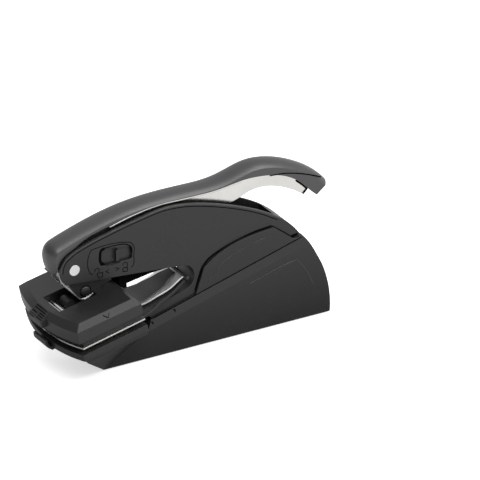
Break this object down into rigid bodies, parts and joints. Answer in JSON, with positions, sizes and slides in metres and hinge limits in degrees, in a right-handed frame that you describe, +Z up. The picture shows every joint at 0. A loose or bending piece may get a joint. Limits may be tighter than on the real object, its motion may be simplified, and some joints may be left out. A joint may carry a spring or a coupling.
{
  "type": "seal embosser press",
  "caption": "Slim hand press with a hinged lever over a C-shaped housing, closing a wide sliding die clip on the edge of a sheet of paper.",
  "frame": {"origin": "middle of the flat underside that the press stands on", "axes": "+X from the mouth with its die clip back to the handle's end, +Z up, the near side with the lock is -Y"},
  "size_m": [0.1683, 0.06, 0.0899],
  "materials": {
    "black_shell": "fine satin moulding",
    "black_housing": "fine satin moulding",
    "black_panel": "fine satin moulding",
    "black_cover": "fine satin moulding, slightly polished by hands",
    "black_slider": "fine satin moulding",
    "black_holder": "fine satin moulding",
    "dark_seat": "plain moulding",
    "nickel_steel": "nickel plate, satin",
    "plated_steel": "zinc plate",
    "bright_steel": "bright turned",
    "spring_steel": "rolled strip",
    "dark_steel": "black phosphate, satin",
    "screw_steel": "zinc plate",
    "die_brass": "engraved blank, plain",
    "die_resin": "plain resin counter die",
    "pad_rubber": "moulded"
  },
  "bodies": {
    "housing": {"base_shell": "black_shell", "bottom_plate": "plated_steel", "base_pad": "pad_rubber", "base_screws": "screw_steel", "near_cheek": "black_housing", "far_cheek": "black_housing", "cheek_screws": "screw_steel", "near_side_panel": "black_panel", "far_side_panel": "black_panel", "press_frame": "plated_steel", "frame_dowels": "plated_steel", "press_stop": "pad_rubber", "pivot_pin": "bright_steel", "lever_spring": "spring_steel"},
    "lever": {"lever_channel": "nickel_steel", "foot_plates": "dark_steel", "lever_cover": "black_cover", "cover_rivets": "plated_steel", "foot_rivet": "dark_steel"},
    "lock": {"lock_slider": "black_slider"},
    "insert": {"lower_holder": "black_holder", "lower_die": "die_brass", "clip_pin": "bright_steel"},
    "upper_jaw": {"upper_holder": "black_holder", "upper_carrier": "dark_seat", "clip_leaf": "spring_steel", "upper_die": "die_resin", "leaf_rivets": "bright_steel", "catch_block": "dark_seat", "catch_strip": "spring_steel", "catch_pin": "bright_steel"}
  },
  "joints": [
    {"name": "lever_press", "type": "hinge", "parent": "housing", "child": "lever", "pos_m": [-0.0796, 0, 0.0585], "axis": [0, 1, 0], "range_deg": [0, 7.5], "stiffness_Nm_per_rad": 0.5, "springref_deg": -22.92, "deforming": ["lever_spring"]},
    {"name": "lock_slide", "type": "slide", "parent": "housing", "child": "lock", "axis": [-1, 0, 0], "range_m": [0, 0.006]},
    {"name": "insert_slide", "type": "slide", "parent": "housing", "child": "insert", "axis": [-0.9755, 0, -0.2198], "range_m": [0, 0.062]},
    {"name": "jaw_close", "type": "hinge", "parent": "insert", "child": "upper_jaw", "pos_m": [-0.0186, 0, 0.0412], "axis": [0, -1, 0], "range_deg": [0, 1.6], "stiffness_Nm_per_rad": 1, "springref_deg": -2.86}
  ],
  "couplings": [
    {"joint": "jaw_close", "follows": "lever_press", "ratio": 0.213}
  ]
}
